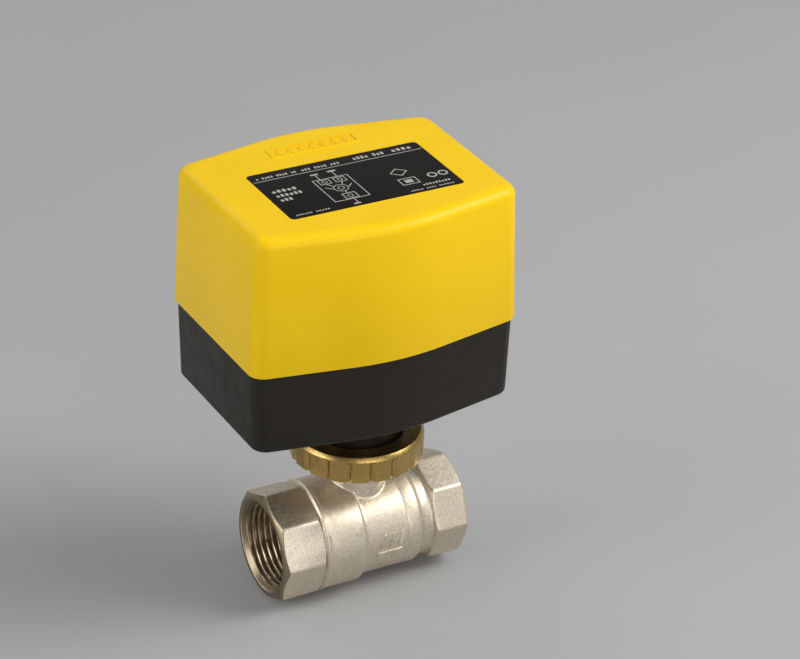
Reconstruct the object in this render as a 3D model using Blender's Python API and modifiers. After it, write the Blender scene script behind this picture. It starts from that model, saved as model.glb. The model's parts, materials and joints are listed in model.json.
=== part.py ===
"""Motorised ball zone valve, G3/4: ball valve, union nut, and geared actuator under a cover.

The origin is where the pipe axis meets the stem axis. +X runs along the pipe, +Z up the stem.
Lengths below are in millimetres, and the helpers turn them into Blender's metres.
"""
import math

import bmesh
import bpy
from mathutils import Matrix, Vector

MM = 0.001
GAP = 0.3                    # clearance between touching pieces

# Pipe line
THREAD_MINOR_R = 12.06       # G3/4 female thread, minor radius
MOUTH_R = 13.5
MOUTH_DEPTH = 1.4
NEAR_FACE_X = -30.3
NEAR_OCTAGON_BACK_X = -17.2
NEAR_OCTAGON_FLATS = 31.0
FAR_FACE_X = 29.4
FAR_OCTAGON_FRONT_X = 18.6
FAR_OCTAGON_FLATS = 29.3
FACE_CHAMFER_R = 14.6        # radius of the flat pipe faces
CHAMFER_DEPTH = 1.7

# Ball chamber
SOCKET_R = 16.3
BARREL_R = 15.0
WAIST_R = 13.9
BODY_LEFT_X = -16.9
SOCKET_END_X = -4.0
BARREL_END_X = 15.2
CHAMBER_R = 13.2
SPIGOT_R = 13.9
SPIGOT_END_X = -12.2
PORT_R = 7.8
BALL_R = 12.4
BALL_PORT_R = 7.5
SEAT_R = 12.8

# Stem and bonnet
STEM_R = 4.2
STEM_BORE_R = 4.6
STEM_GROOVE_R = 3.0
ORING_LEVELS = (17.4, 20.2)
ORING_R = 0.55
BONNET_R = 16.2
BONNET_LOW = 25.0
BONNET_TOP = 26.8
GLAND_R = 5.6

# Union nut
NUT_R = 19.3
NUT_LUG_COUNT = 18
NUT_LUG_PHASE = 5.9          # degrees
NUT_LOW = 24.6
NUT_TOP = 32.8
NUT_LIP_LOW = 28.7
NUT_THREAD_R = 16.6
NUT_HOLE_R = 13.3
NUT_GROOVE = (29.8, 31.3)

# Actuator casing: rectangle with straight ends and long sides bowed to a blunt V
CASE_X = -4.9
NECK_R = 12.8
NECK_BORE_R = 9.0
NECK_LOW = 27.1
BASE_LOW = 48.0
BASE_TOP = 70.6
SEAL_LEVEL = (70.9, 71.7)
COVER_LOW = 72.0
COVER_TOP = 112.9
BASE_LOW_HALF = (39.5, 25.7)
BASE_TOP_HALF = (40.1, 26.0)
COVER_LOW_HALF = (40.8, 26.6)
COVER_TOP_HALF = (39.4, 26.2)
SIDE_SLOPE = 0.191
BOW_HALF = 13.5
CORNER_R = 4.6
WALL = 2.0
FLOOR_TOP = 50.2
SCREW_X = 35.0               # cover screws, from the casing's centre
SCREW_Y = 21.8
LABEL_CENTRE = (-4.3, -3.8)
LABEL_HALF = (26.1, 14.2)
EMBLEM_CENTRE = (-5.0, 19.9)  # a raised frame moulded behind the label
EMBLEM_HALF = (13.7, 3.1)
EMBLEM_LINE = 0.8
EMBLEM_RISE = 0.3

# Gear train: module 0.75, each wheel driven by a 14-tooth pinion
MODULE = 0.75
PINION_TEETH = 14
WHEEL_TEETH = 35
OUTPUT_TEETH = 42
ADDENDUM = 0.9 * MODULE
DEDENDUM = 1.15 * MODULE
BACKLASH = 0.16
SECOND_ANGLE = 150.0         # direction from the output shaft to the second gear
FIRST_ANGLE = -98.8          # from the second gear to the first gear
MOTOR_ANGLE = -28.0          # from the first gear to the motor pinion
SHAFT_R = 4.0
AXLE_R = 1.2
OUTPUT_GEAR = (64.5, 68.0)
SECOND_WHEEL = (69.0, 71.5)
FIRST_WHEEL = (72.3, 74.8)
LOWER_PLATE = (62.0, 63.2)
UPPER_PLATE = (75.7, 76.9)
PILLARS = ((-36.0, 2.0), (14.0, 19.0), (14.0, -19.0))
MOTOR_CENTRE = (-8.0, -2.2)
MOTOR_R = 21.5
MOTOR_EAR = 25.0

# Cam and limit switches
CAM_PEAK_R = 10.0
CAM_BASE_R = 8.8
CAM_LEVEL = (52.7, 56.3)
SWITCH_FACE = 13.9
SWITCH_LEVEL = (50.7, 57.1)
PLUNGER_Z = 54.4
PLUNGER_LENGTH = 5.5
INLET_Z = 59.0

BRASS = ((0.60, 0.43, 0.16), 0.32, 1.0)
NICKEL = ((0.66, 0.62, 0.54), 0.38, 1.0)
CHROME = ((0.80, 0.80, 0.80), 0.12, 1.0)
STEEL = ((0.56, 0.57, 0.58), 0.35, 1.0)
PTFE = ((0.90, 0.90, 0.88), 0.45, 0.0)
RUBBER = ((0.02, 0.02, 0.02), 0.75, 0.0)
YELLOW = ((0.86, 0.60, 0.02), 0.35, 0.0)
BLACK = ((0.028, 0.025, 0.022), 0.40, 0.0)
LABEL_BLACK = ((0.012, 0.012, 0.012), 0.55, 0.0)
ACETAL = ((0.85, 0.84, 0.78), 0.40, 0.0)
CIRCUIT_GREEN = ((0.02, 0.18, 0.07), 0.45, 0.0)
TERMINAL_GREEN = ((0.03, 0.30, 0.12), 0.40, 0.0)

parts = None
cutters = None


# ---------------------------------------------------------------- helpers
def clear_scene():
    for obj in list(bpy.data.objects):
        bpy.data.objects.remove(obj, do_unlink=True)


def make_collection(name):
    collection = bpy.data.collections.new(name)
    bpy.context.scene.collection.children.link(collection)
    return collection


def paint(obj, look):
    colour, roughness, metallic = look
    material = bpy.data.materials.new(obj.name)
    material.use_nodes = True
    shader = material.node_tree.nodes["Principled BSDF"]
    shader.inputs["Base Color"].default_value = (*colour, 1.0)
    shader.inputs["Roughness"].default_value = roughness
    shader.inputs["Metallic"].default_value = metallic
    obj.data.materials.clear()
    obj.data.materials.append(material)


def add(name, mesh, look, origin=(0, 0, 0)):
    """A new object in the parts collection, with its origin given in millimetres."""
    obj = bpy.data.objects.new(name, mesh)
    parts.objects.link(obj)
    obj.location = Vector(origin) * MM
    mesh.shade_smooth()
    mesh.set_sharp_from_angle(angle=math.radians(35))
    paint(obj, look)
    return obj


def mesh_from(bm, name):
    bmesh.ops.recalc_face_normals(bm, faces=bm.faces)
    mesh = bpy.data.meshes.new(name)
    bm.to_mesh(mesh)
    bm.free()
    return mesh


def turned(name, profile, look, origin=(0, 0, 0), axis="Z", steps=32):
    """A profile of (radius, height) turned about the axis; it may start and end on the axis."""
    area = 0.0
    for (r0, h0), (r1, h1) in zip(profile, profile[1:] + profile[:1]):
        area += r0 * h1 - r1 * h0
    if area > 0:
        profile = profile[::-1]
    mesh = bpy.data.meshes.new(name)
    bm = bmesh.new()
    points = [bm.verts.new((r * MM, 0, h * MM)) for r, h in profile]
    for start, end in zip(points, points[1:]):
        bm.edges.new((start, end))
    if min(r for r, h in profile) > 0:
        bm.edges.new((points[-1], points[0]))
    bm.to_mesh(mesh)
    bm.free()
    obj = add(name, mesh, look, origin)
    screw = obj.modifiers.new("turn", "SCREW")
    screw.steps = steps
    screw.render_steps = steps
    screw.use_merge_vertices = True
    screw.merge_threshold = 0.00001
    if axis == "X":
        obj.rotation_euler = (0, math.radians(90), 0)
    if axis == "Y":
        obj.rotation_euler = (math.radians(-90), 0, 0)
    return obj


def cylinder(name, radius, low, high, look, origin=(0, 0, 0), axis="Z", steps=24):
    profile = [(0, high), (radius, high), (radius, low), (0, low)]
    return turned(name, profile, look, origin, axis, steps)


def tube(name, inner, outer, low, high, look, origin=(0, 0, 0), axis="Z", steps=32):
    profile = [(inner, high), (outer, high), (outer, low), (inner, low)]
    return turned(name, profile, look, origin, axis, steps)


def ring(name, centre_r, wire_r, level, look, axis="Z"):
    """An O-ring."""
    profile = []
    for i in range(6):
        angle = math.tau * i / 6
        profile.append((centre_r + wire_r * math.cos(angle), level + wire_r * math.sin(angle)))
    return turned(name, profile, look, axis=axis, steps=24)


def box(name, low, high, look, bevel=0.0):
    low = Vector(low) * MM
    high = Vector(high) * MM
    bm = bmesh.new()
    bmesh.ops.create_cube(bm, size=1.0, matrix=Matrix.Diagonal((*(high - low), 1.0)))
    obj = add(name, mesh_from(bm, name), look)
    obj.location = (low + high) / 2
    if bevel:
        modifier = obj.modifiers.new("edges", "BEVEL")
        modifier.width = bevel * MM
        modifier.segments = 1
    return obj


def plate(name, outlines, level, look, origin=(0, 0, 0)):
    """A flat piece between two levels; outlines after the first are its holes."""
    curve = bpy.data.curves.new(name, "CURVE")
    curve.dimensions = "2D"
    curve.fill_mode = "BOTH"
    curve.extrude = (level[1] - level[0]) / 2 * MM
    for outline in outlines:
        spline = curve.splines.new("POLY")
        spline.points.add(len(outline) - 1)
        for point, (x, y) in zip(spline.points, outline):
            point.co = (x * MM, y * MM, 0, 1)
        spline.use_cyclic_u = True
    flat = bpy.data.objects.new(name, curve)
    parts.objects.link(flat)
    flat.location = ((origin[0]) * MM, origin[1] * MM, (level[0] + level[1]) / 2 * MM)
    graph = bpy.context.evaluated_depsgraph_get()
    solid = bpy.data.meshes.new_from_object(flat.evaluated_get(graph))
    place = flat.location.copy()
    bpy.data.objects.remove(flat)
    bm = bmesh.new()
    bm.from_mesh(solid)
    bmesh.ops.remove_doubles(bm, verts=bm.verts, dist=0.000001)
    bmesh.ops.recalc_face_normals(bm, faces=bm.faces)
    bm.to_mesh(solid)
    bm.free()
    obj = add(name, solid, look)
    obj.location = place
    return obj


def circle(radius, centre=(0, 0), count=24):
    points = []
    for i in range(count):
        angle = math.tau * (i + 0.5) / count
        points.append((centre[0] + radius * math.cos(angle), centre[1] + radius * math.sin(angle)))
    return points


def arc(centre, radius, start, end, count):
    """Points on an arc, with the angles in degrees."""
    points = []
    for i in range(count + 1):
        angle = math.radians(start + (end - start) * i / count)
        points.append((centre[0] + radius * math.cos(angle), centre[1] + radius * math.sin(angle)))
    return points


def combine(target, tool, operation):
    modifier = target.modifiers.new(tool.name, "BOOLEAN")
    modifier.operation = operation
    modifier.solver = "EXACT"
    modifier.object = tool
    parts.objects.unlink(tool)
    cutters.objects.link(tool)
    tool.hide_render = True
    tool.display_type = "WIRE"


def cut(target, *tools):
    for tool in tools:
        combine(target, tool, "DIFFERENCE")


def join(target, *tools):
    for tool in tools:
        combine(target, tool, "UNION")


def case_outline(half, inset=0.0, corner=CORNER_R, steps=4):
    """The casing's plan: straight ends, long sides rising to a blunt V, rounded corners."""
    length = half[0] - inset
    width = half[1] - inset
    radius = corner - inset * 0.5
    tilt = math.degrees(math.atan(SIDE_SLOPE))
    quarter = []
    corner_x = length - radius
    corner_y = width - radius * (1 / math.cos(math.radians(tilt)) - SIDE_SLOPE)
    quarter += arc((corner_x, corner_y), radius, 0, 90 - tilt, steps)
    for i in range(steps + 1):
        x = BOW_HALF * (1 - i / steps)
        rise = SIDE_SLOPE * (length - BOW_HALF)
        bow = SIDE_SLOPE * BOW_HALF / 2 * (1 - (x / BOW_HALF) ** 2)
        quarter.append((x, width + rise + bow))
    mirrored = [(-x, y) for x, y in quarter[-2::-1]]
    top = quarter + mirrored
    bottom = [(-x, -y) for x, y in top]
    return [(CASE_X + x, y) for x, y in top + bottom]


def loft(name, sections, look):
    """A closed solid through outlines with equal point counts, given as (outline, z)."""
    bm = bmesh.new()
    loops = []
    for outline, z in sections:
        verts = [bm.verts.new((x * MM, y * MM, z * MM)) for x, y in outline]
        edges = [bm.edges.new(pair) for pair in zip(verts, verts[1:] + verts[:1])]
        loops.append(edges)
    for lower, upper in zip(loops, loops[1:]):
        bmesh.ops.bridge_loops(bm, edges=lower + upper)
    bmesh.ops.contextual_create(bm, geom=loops[0])
    bmesh.ops.contextual_create(bm, geom=loops[-1])
    return add(name, mesh_from(bm, name), look)


# ---------------------------------------------------------------- ball valve
def octagon(name, flats, low, high):
    """A wrench octagon along X with one corner straight up and one straight down."""
    bm = bmesh.new()
    radius = flats / 2 / math.cos(math.pi / 8) * MM
    bmesh.ops.create_cone(bm, cap_ends=True, segments=8, radius1=radius, radius2=radius,
                          depth=(high - low) * MM)
    obj = add(name, mesh_from(bm, name), NICKEL)
    obj.location = ((low + high) / 2 * MM, 0, 0)
    obj.rotation_euler = (0, math.radians(90), 0)
    return obj


def valve_body():
    body = turned("valve_body", [
        (0, BODY_LEFT_X), (SOCKET_R - 0.5, BODY_LEFT_X), (SOCKET_R, BODY_LEFT_X + 0.5),
        (SOCKET_R, SOCKET_END_X - 0.8), (BARREL_R, SOCKET_END_X + 0.4),
        (BARREL_R - 0.3, BARREL_END_X - 1.2), (WAIST_R, BARREL_END_X), (WAIST_R, FAR_OCTAGON_FRONT_X + 1),
        (0, FAR_OCTAGON_FRONT_X + 1)], NICKEL, axis="X")
    wrench = octagon("far_octagon", FAR_OCTAGON_FLATS, FAR_OCTAGON_FRONT_X, FAR_FACE_X)
    combine(wrench, turned("far_octagon_turning", [
        (0, FAR_OCTAGON_FRONT_X - 1), (15.2, FAR_OCTAGON_FRONT_X - 1),
        (17.5, FAR_OCTAGON_FRONT_X + 1), (17.5, FAR_FACE_X - CHAMFER_DEPTH),
        (FACE_CHAMFER_R, FAR_FACE_X + 0.01), (0, FAR_FACE_X + 0.01)], NICKEL, axis="X"),
        "INTERSECT")
    neck = turned("bonnet", [
        (0, 6.0), (10.2, 6.0), (9.8, 13.0), (8.4, 15.6), (7.5, 18.0), (7.5, 22.4),
        (12.0, BONNET_LOW), (BONNET_R, BONNET_LOW), (BONNET_R, BONNET_TOP), (0, BONNET_TOP)],
        NICKEL)
    join(body, neck, wrench)
    bore = turned("body_bore", [
        (0, BODY_LEFT_X - 1), (SPIGOT_R + GAP, BODY_LEFT_X - 1), (SPIGOT_R + GAP, -10.8),
        (CHAMBER_R, -10.8), (CHAMBER_R, 12.2), (PORT_R, 12.2), (PORT_R, 13.8),
        (THREAD_MINOR_R, 13.8), (THREAD_MINOR_R, FAR_FACE_X - MOUTH_DEPTH),
        (MOUTH_R, FAR_FACE_X), (MOUTH_R, FAR_FACE_X + 1), (0, FAR_FACE_X + 1)], NICKEL, axis="X")
    stem_bore = turned("stem_bore", [
        (0, 9.0), (5.6, 9.0), (5.6, 15.4), (STEM_BORE_R, 15.4), (STEM_BORE_R, 22.4),
        (GLAND_R + GAP, 22.4), (GLAND_R + GAP, BONNET_TOP + 1), (0, BONNET_TOP + 1)], NICKEL,
        steps=24)
    cut(body, bore, stem_bore)


def end_connector():
    connector = octagon("end_connector", NEAR_OCTAGON_FLATS, NEAR_FACE_X, NEAR_OCTAGON_BACK_X)
    combine(connector, turned("near_octagon_turning", [
        (0, NEAR_FACE_X - 0.01), (FACE_CHAMFER_R, NEAR_FACE_X - 0.01),
        (17.5, NEAR_FACE_X + CHAMFER_DEPTH), (17.5, NEAR_OCTAGON_BACK_X - 1.4),
        (15.9, NEAR_OCTAGON_BACK_X), (15.9, NEAR_OCTAGON_BACK_X + 1),
        (0, NEAR_OCTAGON_BACK_X + 1)], NICKEL, axis="X"), "INTERSECT")
    spigot = turned("spigot", [
        (0, NEAR_OCTAGON_BACK_X - 1), (SPIGOT_R, NEAR_OCTAGON_BACK_X - 1), (SPIGOT_R, -15.7),
        (12.9, -15.7), (12.9, -14.1), (SPIGOT_R, -14.1), (SPIGOT_R, SPIGOT_END_X),
        (0, SPIGOT_END_X)], NICKEL, axis="X")
    join(connector, spigot)
    bore = turned("connector_bore", [
        (0, NEAR_FACE_X - 1), (MOUTH_R, NEAR_FACE_X - 1), (MOUTH_R, NEAR_FACE_X),
        (THREAD_MINOR_R, NEAR_FACE_X + MOUTH_DEPTH), (THREAD_MINOR_R, -14.6), (PORT_R, -14.6),
        (PORT_R, SPIGOT_END_X + 1), (0, SPIGOT_END_X + 1)], NICKEL, axis="X")
    cut(connector, bore)
    ring("body_seal", 13.55, 0.4, -14.9, RUBBER, axis="X")


def ball_and_stem():
    bm = bmesh.new()
    bmesh.ops.create_uvsphere(bm, u_segments=20, v_segments=14, radius=BALL_R * MM)
    ball = add("ball", mesh_from(bm, "ball"), CHROME)
    cut(ball, cylinder("ball_port", BALL_PORT_R, -14, 14, CHROME, axis="X"),
        box("ball_slot", (-1.9, -5.5, 9.0), (1.9, 5.5, 14.0), CHROME))
    for name, side in (("seat_near", -1), ("seat_far", 1)):
        turned(name, [(PORT_R, side * 11.9), (SEAT_R, side * 11.9), (SEAT_R, side * 7.6),
                      (10.8, side * 7.6), (PORT_R, side * 10.1)], PTFE, axis="X")
    low_ring, high_ring = ORING_LEVELS
    stem = turned("stem", [
        (0, 12.8), (5.2, 12.8), (5.2, 14.2), (STEM_R, 14.2),
        (STEM_R, low_ring - 1), (STEM_GROOVE_R, low_ring - 1),
        (STEM_GROOVE_R, low_ring + 1), (STEM_R, low_ring + 1),
        (STEM_R, high_ring - 1), (STEM_GROOVE_R, high_ring - 1),
        (STEM_GROOVE_R, high_ring + 1), (STEM_R, high_ring + 1),
        (STEM_R, 27.0), (0, 27.0)], CHROME, steps=24)
    join(stem, box("stem_tang", (-1.5, -4.5, 9.4), (1.5, 4.5, 13.5), CHROME),
         box("stem_square", (-2.8, -2.8, 26.5), (2.8, 2.8, 34.6), CHROME))
    tube("thrust_washer", STEM_BORE_R, 5.3, 14.5, 15.1, PTFE, steps=24)
    ring("stem_oring_lower", 3.85, ORING_R, low_ring, RUBBER)
    ring("stem_oring_upper", 3.85, ORING_R, high_ring, RUBBER)
    gland = tube("gland_nut", STEM_BORE_R, GLAND_R, 22.7, 26.6, BRASS, steps=24)
    cut(gland, box("gland_slot", (-9, -0.8, 25.6), (9, 0.8, 28), BRASS))


# ---------------------------------------------------------------- union nut
def nut_outline():
    """Lugs with flat faces, parted by narrow V grooves."""
    points = []
    pitch = math.tau / NUT_LUG_COUNT
    for i in range(NUT_LUG_COUNT):
        middle = math.radians(NUT_LUG_PHASE) + i * pitch
        for turn, radius in ((-0.5, NUT_R - 1.1), (-0.38, NUT_R), (0.38, NUT_R)):
            angle = middle + turn * pitch
            points.append((radius * math.cos(angle), radius * math.sin(angle)))
    return points


def union_nut():
    nut = plate("ring_nut", [nut_outline()], (NUT_LOW, NUT_TOP - 1.0), BRASS)
    join(nut, turned("nut_rim", [
        (0, NUT_TOP - 3), (17.6, NUT_TOP - 3), (NUT_R - 0.3, NUT_TOP - 2), (NUT_R - 0.3, NUT_TOP - 0.9),
        (NUT_R - 1.3, NUT_TOP), (0, NUT_TOP)], BRASS, steps=54))
    cut(nut, turned("nut_bore", [
        (0, NUT_LOW - 1), (NUT_THREAD_R, NUT_LOW - 1), (NUT_THREAD_R, NUT_LIP_LOW),
        (NUT_HOLE_R, NUT_LIP_LOW), (NUT_HOLE_R, NUT_GROOVE[0]), (14.7, NUT_GROOVE[0]),
        (14.7, NUT_GROOVE[1]), (NUT_HOLE_R, NUT_GROOVE[1]), (NUT_HOLE_R, NUT_TOP + 1),
        (0, NUT_TOP + 1)], BRASS, steps=36))
    tube("slip_ring", NECK_R + 0.2, 14.4, NUT_GROOVE[0] + GAP, NUT_GROOVE[1] - GAP, PTFE, steps=36)
    clip = arc((0, 0), 15.8, 20, 340, 28) + arc((0, 0), 12.0, 340, 20, 28)
    plate("retaining_clip", [clip], (27.8, 28.4), STEEL)


# ---------------------------------------------------------------- casing
def screw_places():
    return [(CASE_X + sx * SCREW_X, sy * SCREW_Y) for sx in (-1, 1) for sy in (-1, 1)]


def base_housing():
    base = loft("base_housing", [
        (case_outline(BASE_LOW_HALF, 1.0), BASE_LOW),
        (case_outline(BASE_LOW_HALF), BASE_LOW + 1.1),
        (case_outline(BASE_TOP_HALF), BASE_TOP)], BLACK)
    cavity = loft("base_cavity", [
        (case_outline(BASE_LOW_HALF, WALL), FLOOR_TOP),
        (case_outline(BASE_TOP_HALF, WALL), BASE_TOP + 1)], BLACK)
    neck = turned("neck", [
        (0, NECK_LOW), (NECK_R, NECK_LOW), (NECK_R, 27.5), (11.7, 27.5), (11.7, 28.7),
        (NECK_R, 28.7), (NECK_R, BASE_LOW + 1), (0, BASE_LOW + 1)], BLACK, steps=36)
    cut(base, cavity)
    join(base, neck, cylinder("shaft_boss", 10.0, BASE_LOW + 1, 52.0, BLACK, steps=24))
    for i, (x, y) in enumerate(screw_places()):
        join(base, cylinder(f"screw_boss_{i}", 4.0, BASE_LOW + 1, BASE_TOP, BLACK, (x, y, 0), steps=16))
    for i, (x, y) in enumerate(PILLARS):
        join(base, cylinder(f"plate_boss_{i}", 3.0, BASE_LOW + 1, LOWER_PLATE[0] - GAP, BLACK,
                            (x, y, 0), steps=12))
    cut(base, turned("coupler_bore", [
        (0, NECK_LOW - 1), (NECK_BORE_R, NECK_LOW - 1), (NECK_BORE_R, 49.9), (6.9, 49.9),
        (6.9, 53), (0, 53)], BLACK, steps=24))
    for i, (x, y) in enumerate(screw_places()):
        cut(base, turned(f"screw_hole_{i}", [
            (0, BASE_LOW - 1), (3.2, BASE_LOW - 1), (3.2, BASE_LOW + 2.6), (1.8, BASE_LOW + 2.6),
            (1.8, BASE_TOP + 1), (0, BASE_TOP + 1)], BLACK, (x, y, 0), steps=12))
    cut(base, cylinder("inlet_hole", 5.0, 25, 45, BLACK, (0, 0, INLET_Z), axis="X", steps=20))


def emblem_block(name, inset, low, high):
    x, y = EMBLEM_CENTRE
    half_x = EMBLEM_HALF[0] - inset
    half_y = EMBLEM_HALF[1] - inset
    return box(name, (x - half_x, y - half_y, low), (x + half_x, y + half_y, high), YELLOW)


def cover():
    top = COVER_TOP_HALF
    shell = loft("cover", [
        (case_outline(COVER_LOW_HALF), COVER_LOW),
        (case_outline(top), COVER_TOP - 3.0),
        (case_outline(top, 0.4), COVER_TOP - 1.5),
        (case_outline(top, 1.5), COVER_TOP - 0.4),
        (case_outline(top, 3.0), COVER_TOP)], YELLOW)
    cut(shell, loft("cover_cavity", [
        (case_outline(COVER_LOW_HALF, WALL), COVER_LOW - 1),
        (case_outline(top, WALL + 0.4), COVER_TOP - 2.4)], YELLOW))
    for i, (x, y) in enumerate(screw_places()):
        join(shell, cylinder(f"cover_boss_{i}", 4.0, COVER_LOW, 92, YELLOW, (x, y, 0), steps=16))
        cut(shell, cylinder(f"cover_boss_hole_{i}", 1.7, COVER_LOW - 1, 86, YELLOW, (x, y, 0), steps=12))
    emblem = emblem_block("emblem", 0.0, COVER_TOP - 0.5, COVER_TOP + EMBLEM_RISE)
    cut(emblem, emblem_block("emblem_window", EMBLEM_LINE, COVER_TOP - 1, COVER_TOP + 1))
    join(shell, emblem)
    x, y = LABEL_CENTRE
    pocket = (LABEL_HALF[0] + GAP, LABEL_HALF[1] + GAP)
    cut(shell, box("label_pocket", (x - pocket[0], y - pocket[1], COVER_TOP - 0.7),
                   (x + pocket[0], y + pocket[1], COVER_TOP + 1), YELLOW))
    box("rating_label", (x - LABEL_HALF[0], y - LABEL_HALF[1], COVER_TOP - 0.4),
        (x + LABEL_HALF[0], y + LABEL_HALF[1], COVER_TOP + 0.05), LABEL_BLACK)
    plate("cover_seal", [case_outline(BASE_TOP_HALF, 0.1), case_outline(BASE_TOP_HALF, WALL)],
          SEAL_LEVEL, RUBBER)
    for i, (x, y) in enumerate(screw_places()):
        turned(f"cover_screw_{i + 1}", [
            (0, BASE_LOW + 0.3), (2.8, BASE_LOW + 0.3), (2.8, BASE_LOW + 2.2),
            (1.4, BASE_LOW + 2.3), (1.4, 84.0), (0, 85.0)], STEEL, (x, y, 0), steps=12)
    turned("cable_grommet", [
        (3.2, 31.2), (6.4, 31.2), (6.4, 32.2), (4.7, 32.2), (4.7, 35.6), (7.2, 35.6),
        (6.2, 38.0), (3.2, 38.0)], RUBBER, (0, 0, INLET_Z), axis="X", steps=20)


# ---------------------------------------------------------------- gear train
def involute(angle):
    return math.tan(angle) - angle


def gear_outline(teeth, phase):
    """Involute teeth, thinned for backlash. Phase is the angle of one tooth's middle."""
    pitch_r = MODULE * teeth / 2
    base_r = pitch_r * math.cos(math.radians(20))
    tip_r = pitch_r + ADDENDUM
    root_r = pitch_r - DEDENDUM
    half_tooth = math.pi / (2 * teeth) - BACKLASH / 4 / pitch_r + involute(math.radians(20))
    start_r = max(base_r, root_r)
    flank = [(root_r, half_tooth)]
    for radius in (start_r, tip_r):
        flank.append((radius, half_tooth - involute(math.acos(base_r / radius))))
    points = []
    for tooth in range(teeth):
        middle = phase + math.tau * tooth / teeth
        for radius, offset in flank:
            points.append((radius * math.cos(middle - offset), radius * math.sin(middle - offset)))
        for radius, offset in reversed(flank):
            points.append((radius * math.cos(middle + offset), radius * math.sin(middle + offset)))
    return points


def gear_distance(teeth_a, teeth_b):
    return MODULE * (teeth_a + teeth_b) / 2


def meshed_phase(phase, teeth, direction, next_teeth):
    """Phase of a gear that meshes with one of the given phase, lying in the given direction."""
    turn = (direction - phase) / (math.tau / teeth)
    return direction + math.pi - (0.5 - turn) * math.tau / next_teeth


def step_from(place, angle, distance):
    angle = math.radians(angle)
    return (place[0] + distance * math.cos(angle), place[1] + distance * math.sin(angle))


def compound_gear(name, place, wheel, wheel_phase, pinion, pinion_phase):
    """A wheel with its pinion below it, moulded in one piece on a bored hub."""
    bore = circle(AXLE_R + 0.2, count=12)
    gear = plate(name, [gear_outline(WHEEL_TEETH, wheel_phase), bore], wheel, ACETAL, place)
    join(gear, plate(f"{name}_pinion", [gear_outline(PINION_TEETH, pinion_phase), bore],
                     (pinion[0], wheel[0] + 0.5), ACETAL, place))


def gear_train():
    second = step_from((0, 0), SECOND_ANGLE, gear_distance(OUTPUT_TEETH, PINION_TEETH))
    first = step_from(second, FIRST_ANGLE, gear_distance(WHEEL_TEETH, PINION_TEETH))
    motor = step_from(first, MOTOR_ANGLE, gear_distance(WHEEL_TEETH, PINION_TEETH))
    second_pinion = meshed_phase(0.0, OUTPUT_TEETH, math.radians(SECOND_ANGLE), PINION_TEETH)
    first_pinion = meshed_phase(0.0, WHEEL_TEETH, math.radians(FIRST_ANGLE), PINION_TEETH)
    motor_pinion = meshed_phase(0.0, WHEEL_TEETH, math.radians(MOTOR_ANGLE), PINION_TEETH)
    shaft_hole = circle(SHAFT_R + GAP, count=16)
    plate("output_gear", [gear_outline(OUTPUT_TEETH, 0.0), shaft_hole], OUTPUT_GEAR, ACETAL)
    compound_gear("second_gear", second, SECOND_WHEEL, 0.0, (OUTPUT_GEAR[0] - 0.2,), second_pinion)
    compound_gear("first_gear", first, FIRST_WHEEL, 0.0, (SECOND_WHEEL[0] - 0.3,), first_pinion)
    for name, place in (("second_axle", second), ("first_axle", first)):
        cylinder(name, AXLE_R, LOWER_PLATE[0] + 0.2, UPPER_PLATE[1] - 0.2, STEEL, (*place, 0), steps=12)
    pinion = plate("motor_pinion", [gear_outline(PINION_TEETH, motor_pinion)],
                   (FIRST_WHEEL[0] - 0.3, UPPER_PLATE[0] - 0.1), STEEL, motor)
    join(pinion, cylinder("motor_shaft", 2.0, FIRST_WHEEL[1], 82.0, STEEL, (*motor, 0), steps=12))
    frame_plates(second, first, motor)
    motor_unit(motor)


def frame_plates(second, first, motor):
    outline = []
    for x, y, start in ((18, 20, 0), (-2, 23, 45), (-20, 22.5, 90), (-37, 6, 120),
                        (-37, -10, 180), (-28, -20, 225), (0, -23, 270), (18, -20, 300)):
        outline += arc((x, y), 3.0, start, start + 45, 2)
    axle_holes = [circle(AXLE_R + 0.15, place, 12) for place in (second, first)]
    shaft_hole = circle(SHAFT_R + GAP, count=16)
    plate("lower_plate", [outline, shaft_hole] + axle_holes, LOWER_PLATE, STEEL)
    screw_holes = [circle(1.4, place, 10) for place in motor_screw_places()]
    pinion_hole = circle(6.4, motor, 16)
    plate("upper_plate", [outline, shaft_hole, pinion_hole] + axle_holes + screw_holes,
          UPPER_PLATE, STEEL)
    for i, place in enumerate(PILLARS):
        cylinder(f"frame_pillar_{i + 1}", 2.4, LOWER_PLATE[1] + GAP, UPPER_PLATE[0] - GAP, STEEL,
                 (*place, 0), steps=12)


def motor_screw_places():
    x, y = MOTOR_CENTRE
    return [(x - MOTOR_EAR, y), (x + MOTOR_EAR, y)]


def motor_unit(shaft):
    x, y = MOTOR_CENTRE
    outline = arc((MOTOR_EAR, 0), 3.2, -70, 70, 4) + arc((0, 0), MOTOR_R, 20, 160, 12)
    outline += arc((-MOTOR_EAR, 0), 3.2, 110, 250, 4) + arc((0, 0), MOTOR_R, 200, 340, 12)
    local_shaft = (shaft[0] - x, shaft[1] - y)
    holes = [circle(1.5, (side * MOTOR_EAR, 0), 10) for side in (-1, 1)]
    plate("motor_flange", [outline, circle(6.4, local_shaft, 16)] + holes,
          (UPPER_PLATE[1] + GAP, 78.1), STEEL, MOTOR_CENTRE)
    can = turned("motor_can", [
        (0, 78.4), (MOTOR_R - 0.4, 78.4), (MOTOR_R - 0.4, 92.4), (MOTOR_R - 1.2, 93.2),
        (5.0, 93.2), (5.0, 94.2), (0, 94.2)], STEEL, (x, y, 0), steps=32)
    cut(can, cylinder("motor_bearing", 2.3, 77, 82.5, STEEL, (*shaft, 0), steps=12))
    for i, place in enumerate(motor_screw_places()):
        turned(f"motor_screw_{i + 1}", [
            (0, 80.0), (2.4, 80.0), (2.4, 78.4), (1.1, 78.4), (1.1, 75.9), (0, 75.9)], STEEL,
            (*place, 0), steps=10)


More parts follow.
